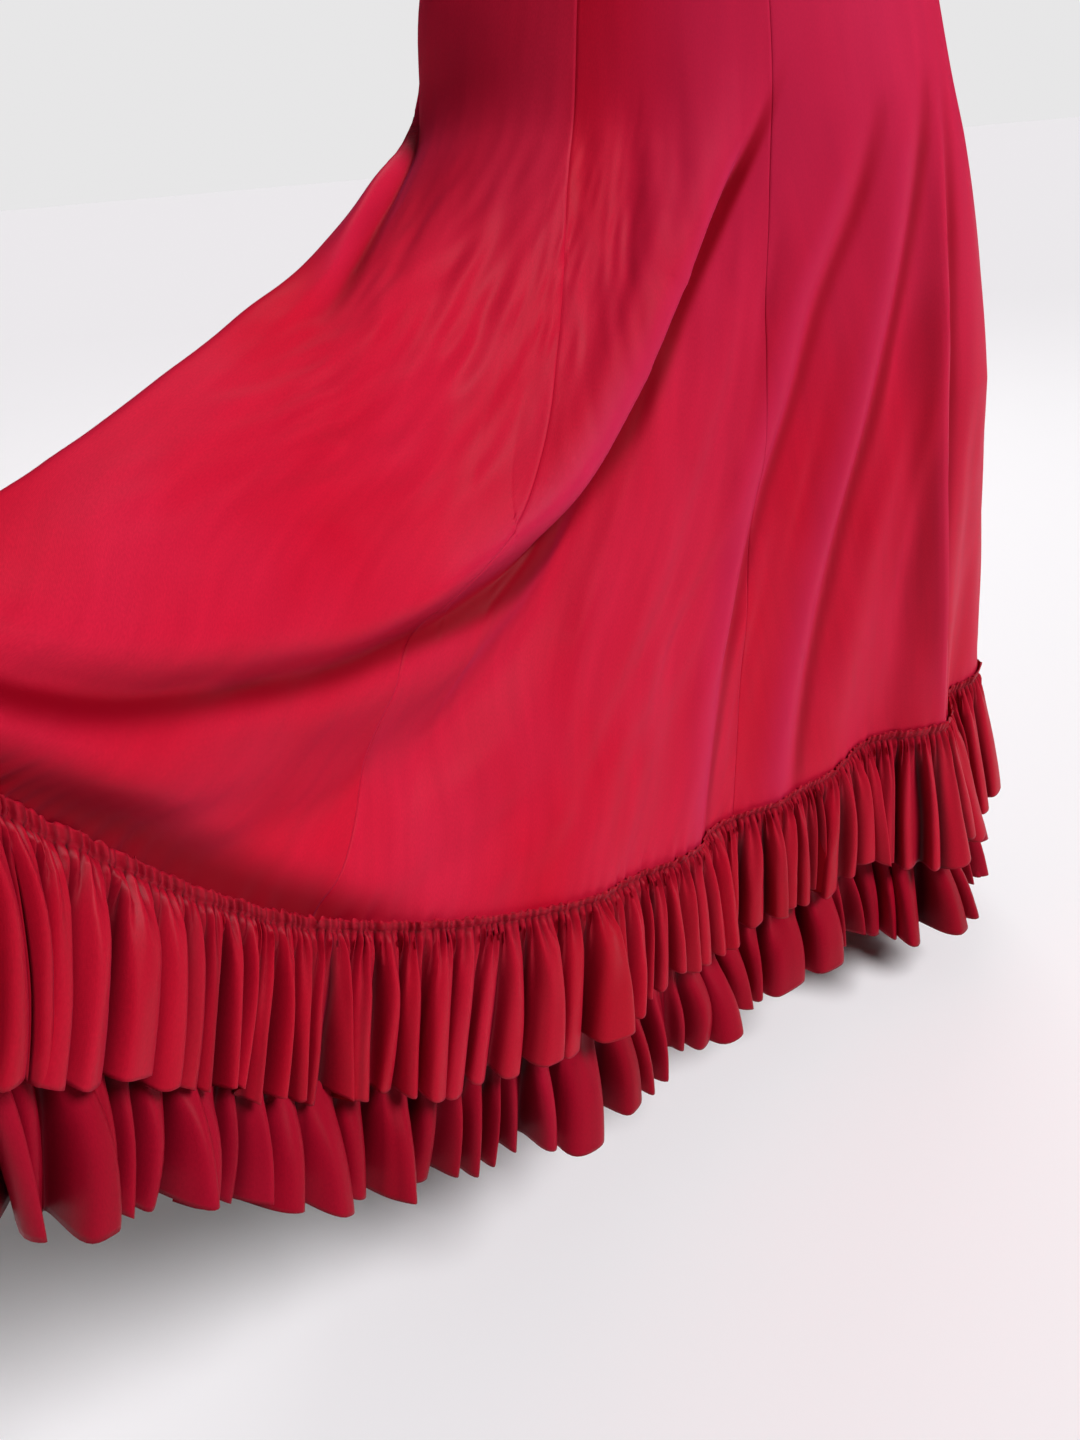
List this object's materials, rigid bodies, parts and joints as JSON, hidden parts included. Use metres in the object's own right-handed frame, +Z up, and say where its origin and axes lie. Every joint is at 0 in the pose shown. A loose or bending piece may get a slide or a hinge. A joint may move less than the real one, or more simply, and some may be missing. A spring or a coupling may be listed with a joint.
{
  "type": "flamenco skirt",
  "caption": "Full-length flamenco skirt in worn form, its right side drawn out forward: flared gores on an elastic waistband, with tiers of gathered ruffles round the hem.",
  "frame": {"origin": "middle of the waist, level with the waistband's upper edge, where the wearer holds the skirt up", "axes": "+Z up, -Y the way the wearer faces, +X the wearer's left"},
  "size_m": [0.7643, 0.8706, 0.9732],
  "materials": {
    "satin": "satin-faced stretch cloth, soft sheen",
    "ruffle_satin": "the same cloth, gathered",
    "band": "matte elastic band covered in the same cloth"
  },
  "bodies": {
    "root": {"waistband": "band", "gore_front": "satin", "gore_side_front_right": "satin", "gore_side_back_right": "satin", "gore_back": "satin", "gore_side_back_left": "satin", "gore_side_front_left": "satin", "ruffle_upper_front": "ruffle_satin", "ruffle_upper_right": "ruffle_satin", "ruffle_upper_back": "ruffle_satin", "ruffle_upper_left": "ruffle_satin", "ruffle_lower_front": "ruffle_satin", "ruffle_lower_right": "ruffle_satin", "ruffle_lower_back": "ruffle_satin", "ruffle_lower_left": "ruffle_satin"}
  },
  "joints": []
}
